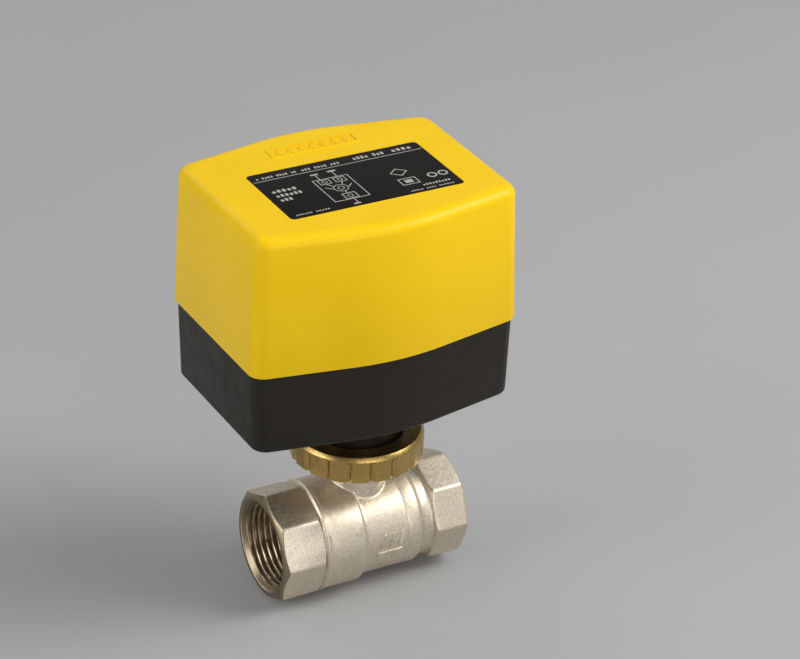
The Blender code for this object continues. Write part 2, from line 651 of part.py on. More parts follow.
# ---------------------------------------------------------------- output drive and switches
def output_drive():
    cylinder("output_shaft", SHAFT_R, 36.0, UPPER_PLATE[1] - 0.2, STEEL)
    coupler = tube("drive_coupler", SHAFT_R + GAP, 8.4, 27.4, 49.6, ACETAL, steps=24)
    web = cylinder("coupler_web", 7.0, 27.4, 35.6, ACETAL)
    join(coupler, web)
    cut(coupler, box("stem_socket", (-3.1, -3.1, 26), (3.1, 3.1, 36.5), ACETAL))
    tube("output_bush", SHAFT_R + 0.2, 6.6, 50.0, 52.0, BRASS, steps=24)
    plate("switch_cam", [cam_outline(), circle(SHAFT_R + GAP, count=16)], CAM_LEVEL, ACETAL)


def cam_outline():
    """A spiral rise to the peak at +X and the same fall beyond it, so plungers move evenly."""
    points = []
    count = 48
    for i in range(count):
        angle = math.tau * i / count
        away = min(angle, math.tau - angle)
        share = max(0.0, 1 - away / (math.pi / 2))
        radius = CAM_BASE_R + (CAM_PEAK_R - CAM_BASE_R) * share
        points.append((radius * math.cos(angle), radius * math.sin(angle)))
    return points


def limit_switch(name, axis, tip):
    """A switch whose plunger points at the shaft along +X or +Y."""
    low, high = SWITCH_LEVEL
    if axis == "X":
        body = box(f"{name}_switch", (SWITCH_FACE, -9.8, low), (SWITCH_FACE + 10, 9.8, high), BLACK, 0.4)
    else:
        body = box(f"{name}_switch", (-9.8, SWITCH_FACE, low), (9.8, SWITCH_FACE + 10, high), BLACK, 0.4)
    cut(body, cylinder(f"{name}_guide", 1.5, SWITCH_FACE - 1, SWITCH_FACE + 4, BLACK,
                       (0, 0, PLUNGER_Z), axis=axis, steps=12))
    turned(f"{name}_plunger", [
        (0, tip), (0.6, tip), (1.2, tip + 0.6), (1.2, tip + PLUNGER_LENGTH),
        (0, tip + PLUNGER_LENGTH)], PTFE, (0, 0, PLUNGER_Z), axis=axis, steps=12)


def electrics():
    limit_switch("open", "X", CAM_PEAK_R + GAP)
    limit_switch("closed", "Y", CAM_BASE_R + GAP)
    box("circuit_board", (21.6, -18, 77.4), (23.2, 18, 104), CIRCUIT_GREEN)
    terminals = box("terminal_block", (23.5, -14, 80), (30.5, 14, 89), TERMINAL_GREEN, 0.5)
    for i in range(5):
        y = -10.4 + 5.2 * i
        cut(terminals, box(f"terminal_{i}", (27.5, y - 1.6, 81.5), (32, y + 1.6, 85.5), TERMINAL_GREEN))
    box("capacitor", (23.5, -8, 92), (30, 8, 103), LABEL_BLACK, 0.8)


def build():
    global parts
    global cutters
    clear_scene()
    parts = make_collection("zone_valve")
    cutters = make_collection("cutters")
    valve_body()
    end_connector()
    ball_and_stem()
    union_nut()
    base_housing()
    cover()
    gear_train()
    output_drive()
    electrics()


build()
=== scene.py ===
"""The looks of the zone valve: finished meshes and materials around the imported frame.

The frame's origin is where the pipe axis meets the stem axis. +X runs along the pipe, +Z up the
stem. Lengths are in millimetres here and become metres when a mesh is made.
"""
import json
import math

import bmesh
import bpy
from mathutils import Matrix, Vector


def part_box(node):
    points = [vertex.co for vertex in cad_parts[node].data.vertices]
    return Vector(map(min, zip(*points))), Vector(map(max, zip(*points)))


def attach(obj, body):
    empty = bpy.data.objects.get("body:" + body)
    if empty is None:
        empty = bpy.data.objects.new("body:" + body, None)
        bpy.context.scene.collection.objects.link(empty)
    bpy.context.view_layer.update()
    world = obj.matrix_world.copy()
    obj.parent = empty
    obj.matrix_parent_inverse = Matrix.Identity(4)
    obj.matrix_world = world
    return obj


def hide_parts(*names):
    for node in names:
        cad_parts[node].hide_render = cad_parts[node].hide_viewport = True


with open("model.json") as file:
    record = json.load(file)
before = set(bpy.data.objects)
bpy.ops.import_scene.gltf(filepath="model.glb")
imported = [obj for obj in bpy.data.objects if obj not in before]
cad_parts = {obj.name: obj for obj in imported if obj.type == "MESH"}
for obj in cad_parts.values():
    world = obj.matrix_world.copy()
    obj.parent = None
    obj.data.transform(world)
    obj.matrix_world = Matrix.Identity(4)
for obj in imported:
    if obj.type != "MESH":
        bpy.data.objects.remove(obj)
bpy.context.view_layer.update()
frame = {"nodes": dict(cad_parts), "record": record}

MM = 0.001


def corners(node):
    """A CAD node's lowest and highest corner, in millimetres."""
    low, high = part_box(node)
    return [v / MM for v in low], [v / MM for v in high]


# ---------------------------------------------------------------- sizes
cover_low, cover_high = corners("cover")
base_low, base_high = corners("base_housing")
body_low, body_high = corners("valve_body")
connector_low, connector_high = corners("end_connector")
nut_low, nut_high = corners("ring_nut")
label_low, label_high = corners("rating_label")
grommet_low, grommet_high = corners("cable_grommet")

# Casing
CASE_X = (cover_low[0] + cover_high[0]) / 2
SIDE_SLOPE = 0.191
BOW_HALF = 13.5
CORNER_R = 4.6
WALL = 2.0
COVER_LOW_HALF = ((cover_high[0] - cover_low[0]) / 2, 26.6)
COVER_TOP_HALF = (COVER_LOW_HALF[0] - 1.4, 26.2)
BASE_TOP_HALF = (COVER_LOW_HALF[0] - 0.7, 26.0)
BASE_LOW_HALF = (COVER_LOW_HALF[0] - 1.3, 25.7)
COVER_LOW = cover_low[2]
EMBLEM_RISE = 0.3
COVER_TOP = cover_high[2] - EMBLEM_RISE
COVER_FILLET = 3.0
BASE_FILLET = 1.2
BASE_TOP = base_high[2]
LIP_TOP = COVER_LOW - 0.1
SEAL_LOW, SEAL_TOP = corners("cover_seal")[0][2], corners("cover_seal")[1][2]
BASE_LOW = 48.0
FLOOR_TOP = 50.2
NECK_R = 12.8
NECK_LOW = base_low[2]
NECK_BORE_R = 9.0
SCREW_X = 35.0
SCREW_Y = 21.8
SCREW_R = 1.4
SCREW_TIP = 85.0
BOSS_R = 4
BOSS_TOP = 92
BOSS_HOLE_TOP = 86
GEARBOX_BUSH_R = 6.9
LABEL_CENTRE = ((label_low[0] + label_high[0]) / 2, (label_low[1] + label_high[1]) / 2)
LABEL_HALF = ((label_high[0] - label_low[0]) / 2, (label_high[1] - label_low[1]) / 2)
LABEL_TOP = label_high[2]
EMBLEM_CENTRE = (-5.0, 19.9)
EMBLEM_HALF = (13.7, 3.1)
INLET_Z = (grommet_low[2] + grommet_high[2]) / 2

# Pipe line: G3/4 female threads, 14 threads to the inch
PITCH = 25.4 / 14
THREAD_MAJOR_R = 26.44 / 2
THREAD_MINOR_R = 12.06
MOUTH_R = 13.5
MOUTH_DEPTH = 1.4
FACE_R = 14.6
CHAMFER_DEPTH = 1.7
CHAMFER_RISE = 2.9
NEAR_FACE_X = connector_low[0]
NEAR_BACK_X = -17.2
NEAR_FLATS = 31.0
NEAR_EDGE_R = 15.7
NEAR_THREAD_END_X = -15.2
NEAR_SHELF_X = -14.6
FAR_FACE_X = body_high[0]
FAR_FRONT_X = 18.6
FAR_FLATS = 29.3
FAR_EDGE_R = 14.9
FAR_THREAD_START_X = 13.8
FAR_SEAT_X = 12.2
BODY_LEFT_X = body_low[0]
SOCKET_R = 16.3
SOCKET_END_X = -4.0
BARREL_R = 15.0
BARREL_END_X = 15.2
BARREL_STEP_X = 9.7
WAIST_R = 13.9
PORT_R = 7.8
SPIGOT_R = 13.9
SPIGOT_END_X = connector_high[0]
CHAMBER_R = 13.2
BONNET_R = 16.2
BONNET_LOW = 25.0
BONNET_TOP = 26.8
VOXEL = 0.3
SMOOTHINGS = 5

# Ball and seats
BALL_R = 12.4
BALL_PORT_R = 7.5
SEAT_R = 12.8
SEAT_BACK_X = 11.9
SEAT_FRONT_X = 7.6

# Union nut
NUT_R = 19.3
LUG_COUNT = 18
LUG_PHASE = math.radians(5.9)
GROOVE_DEPTH = 0.95
NUT_LOW = nut_low[2]
NUT_TOP = nut_high[2]
NUT_LIP_LOW = 28.7
NUT_THREAD_R = 16.6
NUT_HOLE_R = 13.3
NUT_RIM_R = NUT_R - 0.05
NUT_RIM_Z = NUT_TOP - 1.5
NUT_FACE_R = 18.1


# ---------------------------------------------------------------- materials
class Look:
    """A Principled material with a few shorthands for its procedural nodes."""

    def __init__(self, name, metallic=0.0):
        self.material = bpy.data.materials.new(name)
        self.material.use_nodes = True
        self.tree = self.material.node_tree
        self.shader = self.tree.nodes["Principled BSDF"]
        self.shader.inputs["Metallic"].default_value = metallic
        self.coords = self.tree.nodes.new("ShaderNodeTexCoord").outputs["Object"]
        self.height = None

    def link(self, source, target):
        self.tree.links.new(source, target)

    def stretched(self, scale):
        mapping = self.tree.nodes.new("ShaderNodeMapping")
        mapping.inputs["Scale"].default_value = scale
        self.link(self.coords, mapping.inputs["Vector"])
        return mapping.outputs["Vector"]

    def noise(self, size, detail=2.0, rough=0.5, stretch=None):
        """Cloudy noise with features of the given size in millimetres."""
        node = self.tree.nodes.new("ShaderNodeTexNoise")
        node.inputs["Scale"].default_value = 1 / (size * MM)
        node.inputs["Detail"].default_value = detail
        node.inputs["Roughness"].default_value = rough
        self.link(self.stretched(stretch) if stretch else self.coords, node.inputs["Vector"])
        return node.outputs["Fac"]

    def spread(self, value, low, high, start=0.3, end=0.7):
        node = self.tree.nodes.new("ShaderNodeMapRange")
        node.inputs["From Min"].default_value = start
        node.inputs["From Max"].default_value = end
        node.inputs["To Min"].default_value = low
        node.inputs["To Max"].default_value = high
        self.link(value, node.inputs["Value"])
        return node.outputs["Result"]

    def blend(self, value, first, second):
        node = self.tree.nodes.new("ShaderNodeMix")
        node.data_type = "RGBA"
        self.link(value, node.inputs["Factor"])
        for socket, colour in ((node.inputs[6], first), (node.inputs[7], second)):
            if isinstance(colour, tuple):
                socket.default_value = (*colour, 1.0)
            else:
                self.link(colour, socket)
        return node.outputs[2]

    def colour(self, source):
        if isinstance(source, tuple):
            self.shader.inputs["Base Color"].default_value = (*source, 1.0)
        else:
            self.link(source, self.shader.inputs["Base Color"])

    def roughness(self, value, low, high):
        self.link(self.spread(value, low, high), self.shader.inputs["Roughness"])

    def bump(self, value, depth):
        """Adds relief of the given depth in millimetres."""
        node = self.tree.nodes.new("ShaderNodeBump")
        node.inputs["Distance"].default_value = depth * MM
        node.inputs["Strength"].default_value = 1.0
        self.link(value, node.inputs["Height"])
        if self.height:
            self.link(self.height, node.inputs["Normal"])
        self.height = node.outputs["Normal"]
        self.link(self.height, self.shader.inputs["Normal"])

    def set(self, **values):
        for name, value in values.items():
            self.shader.inputs[name.replace("_", " ")].default_value = value


def yellow_plastic():
    look = Look("yellow_plastic")
    cloud = look.spread(look.noise(22, 3), 0, 1)
    look.colour(look.blend(cloud, (0.84, 0.538, 0.005), (0.88, 0.572, 0.008)))
    look.roughness(look.noise(6, 4), 0.28, 0.35)
    look.set(Specular_IOR_Level=0.13)
    return look.material


def black_plastic():
    look = Look("black_plastic")
    look.colour(look.blend(look.noise(12, 4), (0.0105, 0.0080, 0.0042), (0.0150, 0.0118, 0.0070)))
    look.roughness(look.noise(5, 4), 0.38, 0.50)
    look.bump(look.noise(0.35, 4, 0.7), 0.016)
    look.set(Specular_IOR_Level=0.26)
    return look.material


def grainy(name, light, dark, low_rough, high_rough, grain, relief):
    """Plated metal over a tumbled surface: salt-and-pepper grain, soft hollows, warm stains."""
    look = Look(name, metallic=1.0)
    stain = look.spread(look.noise(8, 5, 0.6), 0, 1, 0.38, 0.72)
    base = look.blend(stain, light, dark)
    speck = look.spread(look.noise(grain, 3, 0.7), 0, 1, 0.36, 0.66)
    look.colour(look.blend(speck, tuple(c * 0.80 for c in dark), base))
    look.roughness(look.noise(1.2, 4, 0.6), low_rough, high_rough)
    look.bump(look.noise(2.4, 3, 0.5), relief * 1.6)
    look.bump(look.noise(grain, 3, 0.6), relief)
    return look.material


def turned_metal(name, light, dark):
    """Machined metal: smooth, darker than the cast surface."""
    look = Look(name, metallic=1.0)
    look.colour(look.blend(look.spread(look.noise(3, 4), 0, 1), light, dark))
    look.roughness(look.noise(2, 4), 0.26, 0.38)
    look.bump(look.noise(0.6, 2), 0.004)
    return look.material


def chrome():
    look = Look("chrome", metallic=1.0)
    look.colour((0.82, 0.82, 0.83))
    look.roughness(look.noise(1.5, 4), 0.06, 0.14)
    look.bump(look.noise(0.8, 3), 0.001)
    return look.material


def steel():
    look = Look("steel", metallic=1.0)
    look.colour(look.blend(look.noise(5, 4), (0.56, 0.57, 0.58), (0.48, 0.49, 0.52)))
    look.roughness(look.noise(1.2, 4), 0.28, 0.42)
    look.bump(look.noise(0.6, 3, 0.6, (0.1, 1, 1)), 0.006)
    return look.material


def moulded(name, light, dark, low_rough, high_rough, grain=0.006):
    """A plain moulded or rubber-like material: light mottling, fine grain."""
    look = Look(name)
    look.colour(look.blend(look.noise(4, 4), light, dark))
    look.roughness(look.noise(1.5, 4), low_rough, high_rough)
    look.bump(look.noise(0.4, 3), grain)
    return look.material


LOOKS = {
    "yellow_plastic": yellow_plastic(),
    "black_plastic": black_plastic(),
    "nickel_plate": grainy("cast_nickel", (0.82, 0.74, 0.61), (0.73, 0.64, 0.50), 0.40, 0.52, 0.55, 0.045),
    "brass": grainy("brass", (0.63, 0.44, 0.16), (0.51, 0.34, 0.105), 0.24, 0.36, 0.4, 0.014),
    "chrome_plate": chrome(),
    "steel": steel(),
    "ptfe": moulded("ptfe", (0.86, 0.86, 0.84), (0.80, 0.80, 0.77), 0.42, 0.52),
    "rubber": moulded("rubber", (0.020, 0.020, 0.020), (0.030, 0.029, 0.028), 0.60, 0.75, 0.012),
    "label": moulded("label", (0.0062, 0.0055, 0.0048), (0.0090, 0.0080, 0.0070), 0.40, 0.50, 0.003),
    "acetal": moulded("acetal", (0.83, 0.81, 0.74), (0.77, 0.75, 0.68), 0.35, 0.45),
    "circuit_board": moulded("circuit_board", (0.02, 0.18, 0.07), (0.015, 0.13, 0.05), 0.30, 0.40),
    "terminal": moulded("terminal", (0.03, 0.30, 0.12), (0.025, 0.26, 0.10), 0.38, 0.48),
}
MACHINED = turned_metal("turned_nickel", (0.60, 0.50, 0.36), (0.47, 0.38, 0.26))
# A darker copy of the machined metal for the near end face: painted shade, standing in for the shadowed
# floor that face reflects.
SHADED_END_FACE = turned_metal("shaded_end_face", (0.35, 0.28, 0.18), (0.27, 0.21, 0.13))
PRINT = moulded("label_print", (0.44, 0.43, 0.40), (0.36, 0.35, 0.33), 0.45, 0.55, 0.002)
LOOKS["label"].node_tree.nodes["Principled BSDF"].inputs["Specular IOR Level"].default_value = 0.10


# ---------------------------------------------------------------- mesh helpers
def add(name, bm, sharp=30):
    bmesh.ops.recalc_face_normals(bm, faces=bm.faces)
    mesh = bpy.data.meshes.new(name)
    bm.to_mesh(mesh)
    bm.free()
    mesh.shade_smooth()
    mesh.set_sharp_from_angle(angle=math.radians(sharp))
    obj = bpy.data.objects.new(name, mesh)
    bpy.context.scene.collection.objects.link(obj)
    return obj


def dress(obj, slot, body="housing", replaced=(), material=None):
    """Gives a finished piece the material of its slot, puts it on its body and hides the CAD nodes it stands
    for.
    """
    obj.data.materials.clear()
    obj.data.materials.append(material or LOOKS[slot])
    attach(obj, body)
    if replaced:
        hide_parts(*replaced)


def applied(obj):
    """Turns an object's modifiers into mesh."""
    graph = bpy.context.evaluated_depsgraph_get()
    result = bpy.data.meshes.new_from_object(obj.evaluated_get(graph))
    obj.modifiers.clear()
    obj.data = result


def combine(target, tool, operation, sharp=30):
    modifier = target.modifiers.new("combine", "BOOLEAN")
    modifier.operation = operation
    modifier.solver = "EXACT"
    modifier.object = tool
    applied(target)
    bpy.data.objects.remove(tool)
    target.data.set_sharp_from_angle(angle=math.radians(sharp))


def cut(target, *tools):
    for tool in tools:
        combine(target, tool, "DIFFERENCE")


def join(target, *tools):
    for tool in tools:
        combine(target, tool, "UNION")


def gathered(name, pieces):
    """One object from several pieces that don't touch."""
    bm = bmesh.new()
    for piece in pieces:
        bm.from_mesh(piece.data)
        bpy.data.objects.remove(piece)
    return add(name, bm)


def soften(path, radius, steps=2):
    """Rounds a closed path's corners; every corner becomes the same number of points."""
    rounded = []
    count = len(path)
    for i, point in enumerate(path):
        here = Vector(point)
        back = Vector(path[i - 1]) - here
        ahead = Vector(path[(i + 1) % count]) - here
        reach = min(radius, 0.45 * back.length, 0.45 * ahead.length)
        start = here + back.normalized() * reach
        end = here + ahead.normalized() * reach
        for k in range(steps + 1):
            t = k / steps
            rounded.append(tuple(start * (1 - t) ** 2 + here * 2 * t * (1 - t) + end * t ** 2))
    return rounded


def lathe_point(axis, angle, radius, height):
    c, s = math.cos(angle), math.sin(angle)
    if axis == "X":
        return (height * MM, radius * s * MM, radius * c * MM)
    return (radius * c * MM, radius * s * MM, height * MM)


def polar(name, columns, axis="Z", centre=(0, 0), sharp=30):
    """A ring-shaped solid: each column is (angle, closed path of (radius, height))."""
    bm = bmesh.new()
    rows = []
    for angle, path in columns:
        row = []
        for radius, height in path:
            x, y, z = lathe_point(axis, angle, radius, height)
            row.append(bm.verts.new((x + centre[0] * MM, y + centre[1] * MM, z)))
        rows.append(row)
    for a, b in zip(rows, rows[1:] + rows[:1]):
        for i in range(len(a)):
            j = (i + 1) % len(a)
            bm.faces.new((a[i], a[j], b[j], b[i]))
    return add(name, bm, sharp)


def turned(name, profile, axis="Z", steps=96, centre=(0, 0), soft=0.0, sharp=30):
    """A solid of revolution. A profile that starts and ends on the axis is closed there; any
    other one is a ring, whose corners soft rounds."""
    if profile[0][0] != 0:
        if soft:
            profile = soften(profile, soft)
        columns = [(math.tau * i / steps, profile) for i in range(steps)]
        return polar(name, columns, axis, centre, sharp)
    bm = bmesh.new()
    ends = []
    for radius, height in (profile[0], profile[-1]):
        x, y, z = lathe_point(axis, 0, 0, height)
        ends.append(bm.verts.new((x + centre[0] * MM, y + centre[1] * MM, z)))
    rows = []
    for i in range(steps):
        row = []
        for radius, height in profile[1:-1]:
            x, y, z = lathe_point(axis, math.tau * i / steps, radius, height)
            row.append(bm.verts.new((x + centre[0] * MM, y + centre[1] * MM, z)))
        rows.append(row)
    for a, b in zip(rows, rows[1:] + rows[:1]):
        bm.faces.new((ends[0], a[0], b[0]))
        bm.faces.new((a[-1], ends[1], b[-1]))
        for i in range(len(a) - 1):
            bm.faces.new((a[i], a[i + 1], b[i + 1], b[i]))
    return add(name, bm, sharp)


def stacked(name, rings, sharp=30):
    """A closed solid through level outlines with equal point counts, given as (outline, z)."""
    bm = bmesh.new()
    rows = [[bm.verts.new((x * MM, y * MM, z * MM)) for x, y in outline] for outline, z in rings]
    for a, b in zip(rows, rows[1:]):
        for i in range(len(a)):
            j = (i + 1) % len(a)
            bm.faces.new((a[i], a[j], b[j], b[i]))
    bm.faces.new(rows[0])
    bm.faces.new(rows[-1])
    return add(name, bm, sharp)


def arc(centre, radius, start, end, count):
    points = []
    for i in range(count + 1):
        angle = math.radians(start + (end - start) * i / count)
        points.append((centre[0] + radius * math.cos(angle), centre[1] + radius * math.sin(angle)))
    return points


def rounded_box(centre, half, radius, count=5):
    outline = []
    for sx, sy, start in ((1, 1, 0), (-1, 1, 90), (-1, -1, 180), (1, -1, 270)):
        middle = (centre[0] + sx * (half[0] - radius), centre[1] + sy * (half[1] - radius))
        outline += arc(middle, radius, start, start + 90, count)
    return outline


def slab(name, outline, low, high, edge=0.0):
    """A flat piece; edge rounds its top rim by shrinking the outline towards its middle."""
    if not edge:
        return stacked(name, [(outline, low), (outline, high)])
    cx = sum(x for x, y in outline) / len(outline)
    cy = sum(y for x, y in outline) / len(outline)
    half_x = max(x for x, y in outline) - cx
    half_y = max(y for x, y in outline) - cy
    rings = [(outline, low)]
    for k in range(4):
        t = math.radians(30 * k)
        inset = edge * (1 - math.cos(t))
        inner = [(cx + (x - cx) * (1 - inset / half_x), cy + (y - cy) * (1 - inset / half_y))
                 for x, y in outline]
        rings.append((inner, high - edge + edge * math.sin(t)))
    return stacked(name, rings)


# ---------------------------------------------------------------- casing
def case_outline(half, inset=0.0, corner_steps=10, bow_steps=14):
    """The casing's plan: straight ends, long sides rising to a blunt V, rounded corners."""
    length = half[0] - inset
    width = half[1] - inset
    radius = CORNER_R - inset * 0.5
    tilt = math.degrees(math.atan(SIDE_SLOPE))
    corner_x = length - radius
    corner_y = width - radius * (1 / math.cos(math.radians(tilt)) - SIDE_SLOPE)
    quarter = arc((corner_x, corner_y), radius, 0, 90 - tilt, corner_steps)
    rise = SIDE_SLOPE * (length - BOW_HALF)
    for i in range(bow_steps + 1):
        x = BOW_HALF * (1 - i / bow_steps)
        bow = SIDE_SLOPE * BOW_HALF / 2 * (1 - (x / BOW_HALF) ** 2)
        quarter.append((x, width + rise + bow))
    top = quarter + [(-x, y) for x, y in quarter[-2::-1]]
    bottom = [(-x, -y) for x, y in top]
    return [(CASE_X + x, y) for x, y in top + bottom]


def fillet(radius, count=8):
    """(inset, drop) pairs from a wall to a flat top."""
    pairs = []
    for k in range(count + 1):
        t = math.pi / 2 * k / count
        pairs.append((radius * (1 - math.cos(t)), radius * (1 - math.sin(t))))
    return pairs


def screw_places():
    return [(CASE_X + sx * SCREW_X, sy * SCREW_Y) for sx in (-1, 1) for sy in (-1, 1)]


def emblem_outline(inset):
    half = (EMBLEM_HALF[0] - inset, EMBLEM_HALF[1] - inset)
    return rounded_box(EMBLEM_CENTRE, half, 0.9 - inset * 0.4, 4)


def cover():
    top = COVER_TOP_HALF
    rings = [
        (case_outline(top, WALL + 0.4), COVER_TOP - 2.4),
        (case_outline(COVER_LOW_HALF, WALL), COVER_LOW),
        (case_outline(COVER_LOW_HALF, 0.35), COVER_LOW),
        (case_outline(COVER_LOW_HALF, 0.1), COVER_LOW + 0.1),
        (case_outline(COVER_LOW_HALF), COVER_LOW + 0.35)]
    for inset, drop in fillet(COVER_FILLET, 10):
        rings.append((case_outline(top, inset), COVER_TOP - drop))
    rings.append((case_outline(top, COVER_FILLET + 0.4), COVER_TOP))
    shell = stacked("cover_shell", rings)
    pocket = rounded_box(LABEL_CENTRE, (LABEL_HALF[0] + 0.2, LABEL_HALF[1] + 0.2), 1.3)
    cut(shell, slab("pocket", pocket, COVER_TOP - 0.5, COVER_TOP + 1))
    emblem = slab("emblem", emblem_outline(0), COVER_TOP - 0.5, COVER_TOP + EMBLEM_RISE, 0.22)
    cut(emblem, slab("emblem_window", emblem_outline(0.95), COVER_TOP - 1, COVER_TOP + 1))
    join(shell, emblem)
    lozenges = []
    for i in range(7):
        x = EMBLEM_CENTRE[0] + (i - 3) * 3.4
        outline = [(x + 1.35, 0), (x, 1.75), (x - 1.35, 0), (x, -1.75)]
        outline = [(px, EMBLEM_CENTRE[1] + py) for px, py in soften(outline, 0.3)]
        lozenges.append(slab("lozenge", outline, COVER_TOP - 0.5, COVER_TOP + EMBLEM_RISE, 0.25))
    join(shell, gathered("lozenges", lozenges))
    join(shell, gathered("cover_bosses", [turned("boss", [
        (0, COVER_LOW), (BOSS_R, COVER_LOW), (BOSS_R, BOSS_TOP), (0, BOSS_TOP)],
        centre=place, steps=32) for place in screw_places()]))
    cut(shell, gathered("cover_screw_holes", [turned("hole", [
        (0, COVER_LOW - 1), (1.7, COVER_LOW - 1), (1.7, BOSS_HOLE_TOP), (0, BOSS_HOLE_TOP)],
        centre=place, steps=24)
        for place in screw_places()]))
    dress(shell, "yellow_plastic", replaced=["cover"])


def base_housing():
    rings = []
    for inset, drop in fillet(BASE_FILLET, 6)[::-1]:
        rings.append((case_outline(BASE_LOW_HALF, inset), BASE_LOW + drop))
    rings[0:0] = [(case_outline(BASE_LOW_HALF, BASE_FILLET + 0.4), BASE_LOW)]
    rings += [
        (case_outline(BASE_TOP_HALF), LIP_TOP - 0.05),
        (case_outline(BASE_TOP_HALF, 0.05), LIP_TOP),
        (case_outline(BASE_TOP_HALF, 0.55), LIP_TOP),
        (case_outline(BASE_TOP_HALF, 0.6), BASE_TOP),
        (case_outline(BASE_TOP_HALF, WALL), BASE_TOP),
        (case_outline(BASE_LOW_HALF, WALL), FLOOR_TOP),
        (case_outline(BASE_LOW_HALF, WALL + 0.4), FLOOR_TOP)]
    shell = stacked("base_shell", rings)
    root = 1.6
    neck = [(0, NECK_LOW), (NECK_R - 0.4, NECK_LOW), (NECK_R, NECK_LOW + 0.4)]
    for inset, drop in fillet(root, 6):
        neck.append((NECK_R + inset, BASE_LOW - drop))
    neck += [(NECK_R + root, BASE_LOW + 1), (0, BASE_LOW + 1)]
    join(shell, turned("neck", neck))
    join(shell, gathered("base_bosses", [turned("boss", [
        (0, BASE_LOW + 1), (BOSS_R, BASE_LOW + 1), (BOSS_R, BASE_TOP), (0, BASE_TOP)],
        centre=place, steps=32)
        for place in screw_places()]))
    cut(shell, gathered("base_screw_holes", [turned("hole", [
        (0, BASE_LOW - 1), (3.6, BASE_LOW - 1), (3.2, BASE_LOW + 0.3), (3.2, BASE_LOW + 2.6),
        (1.8, BASE_LOW + 2.6), (1.8, BASE_TOP + 1), (0, BASE_TOP + 1)], centre=place, steps=40)
        for place in screw_places()]))
    cut(shell, turned("coupler_bore", [
        (0, NECK_LOW - 1), (NECK_BORE_R, NECK_LOW - 1), (NECK_BORE_R, 49.9),
        (GEARBOX_BUSH_R, 49.9), (GEARBOX_BUSH_R, 53), (0, 53)]))
    cut(shell, inlet_tool())
    dress(shell, "black_plastic", replaced=["base_housing"])


def cover_seal():
    outer = case_outline(BASE_TOP_HALF, 0.75)
    inner = case_outline(BASE_TOP_HALF, WALL)
    seal = stacked("seal", [(outer, SEAL_LOW), (outer, SEAL_TOP)])
    cut(seal, stacked("seal_window", [(inner, SEAL_LOW - 1), (inner, SEAL_TOP + 1)]))
    dress(seal, "rubber", replaced=["cover_seal"])


def inlet_tool():
    tool = turned("inlet", [(0, 25), (5, 25), (5, 45), (0, 45)], axis="X", steps=48)
    tool.data.transform(Matrix.Translation((0, 0, INLET_Z * MM)))
    return tool


def cable_grommet():
    """Rubber bush: inner flange, waist in the wall, ribbed and tapered nose."""
    x0, x1 = grommet_low[0], grommet_high[0]
    profile = [
        (3.2, x0), (6.2, x0), (6.4, x0 + 0.2), (6.4, x0 + 1.0), (4.7, x0 + 1.0), (4.7, x0 + 4.4),
        (7.2, x0 + 4.4), (7.2, x0 + 5.0), (6.7, x0 + 5.3), (6.9, x0 + 5.7), (6.5, x0 + 6.0),
        (6.6, x0 + 6.4), (6.1, x1 - 0.1), (5.8, x1), (3.6, x1), (3.2, x1 - 0.4)]
    bush = turned("grommet", profile, axis="X", steps=64, soft=0.15)
    bush.data.transform(Matrix.Translation((0, 0, INLET_Z * MM)))
    dress(bush, "rubber", replaced=["cable_grommet"])


def cover_screws():
    for i, (x, y) in enumerate(screw_places()):
        head = turned(f"screw_{i + 1}", [
            (0, BASE_LOW + 0.3), (1.6, BASE_LOW + 0.34), (2.4, BASE_LOW + 0.55), (2.8, BASE_LOW + 1.1),
            (2.8, BASE_LOW + 2.2), (SCREW_R, BASE_LOW + 2.3), (SCREW_R, SCREW_TIP - 1.0),
            (0.1, SCREW_TIP), (0, SCREW_TIP)],
            centre=(x, y), steps=40)
        for half in ((1.7, 0.32), (0.32, 1.7)):
            cut(head, slab("recess", rounded_box((x, y), half, 0.15, 2), BASE_LOW - 1, BASE_LOW + 1.5))
        dress(head, "steel", replaced=[f"cover_screw_{i + 1}"])


# ---------------------------------------------------------------- label
def bar(x0, y0, x1, y1):
    """A block's outline, in millimetres from the label's middle."""
    return [(x0, y0), (x1, y0), (x1, y1), (x0, y1)]


def stroke(x0, y0, x1, y1, width=0.28):
    start = Vector((x0, y0))
    end = Vector((x1, y1))
    side = (end - start).normalized().orthogonal() * width / 2
    along = (end - start).normalized() * width / 2
    return [tuple(start - along + side), tuple(start - along - side),
            tuple(end + along - side), tuple(end + along + side)]


def print_line(x0, x1, y, height, words):
    """A line of print as plain ticks, set in words of the given lengths."""
    count = sum(words) + len(words) - 1
    step = (x1 - x0) / count
    blocks = []
    place = 0
    for word in words:
        for k in range(word):
            x = x0 + (place + k) * step
            tall = height * (0.5 if (place + k) % 3 else 0.38)
            blocks.append(bar(x, y - height / 2, x + step * 0.62, y - height / 2 + 2 * tall))
        place += word + 1
    return blocks


def ring_band(centre, radius, count=20, width=0.24):
    outer = arc(centre, radius + width / 2, 0, 360, count)[:-1]
    inner = arc(centre, radius - width / 2, 0, 360, count)[:-1]
    return outer, inner


def frame_band(x0, y0, x1, y1, width=0.28):
    outer = bar(x0 - width / 2, y0 - width / 2, x1 + width / 2, y1 + width / 2)
    inner = bar(x0 + width / 2, y0 + width / 2, x1 - width / 2, y1 - width / 2)
    return outer, inner


def lozenge_band(centre, half_x, half_y, width=0.3):
    loops = []
    for grow in (width * 0.7, -width * 0.7):
        x, y = half_x + grow, half_y + grow
        loops.append([(centre[0] + x, centre[1]), (centre[0], centre[1] + y),
                      (centre[0] - x, centre[1]), (centre[0], centre[1] - y)])
    return tuple(loops)


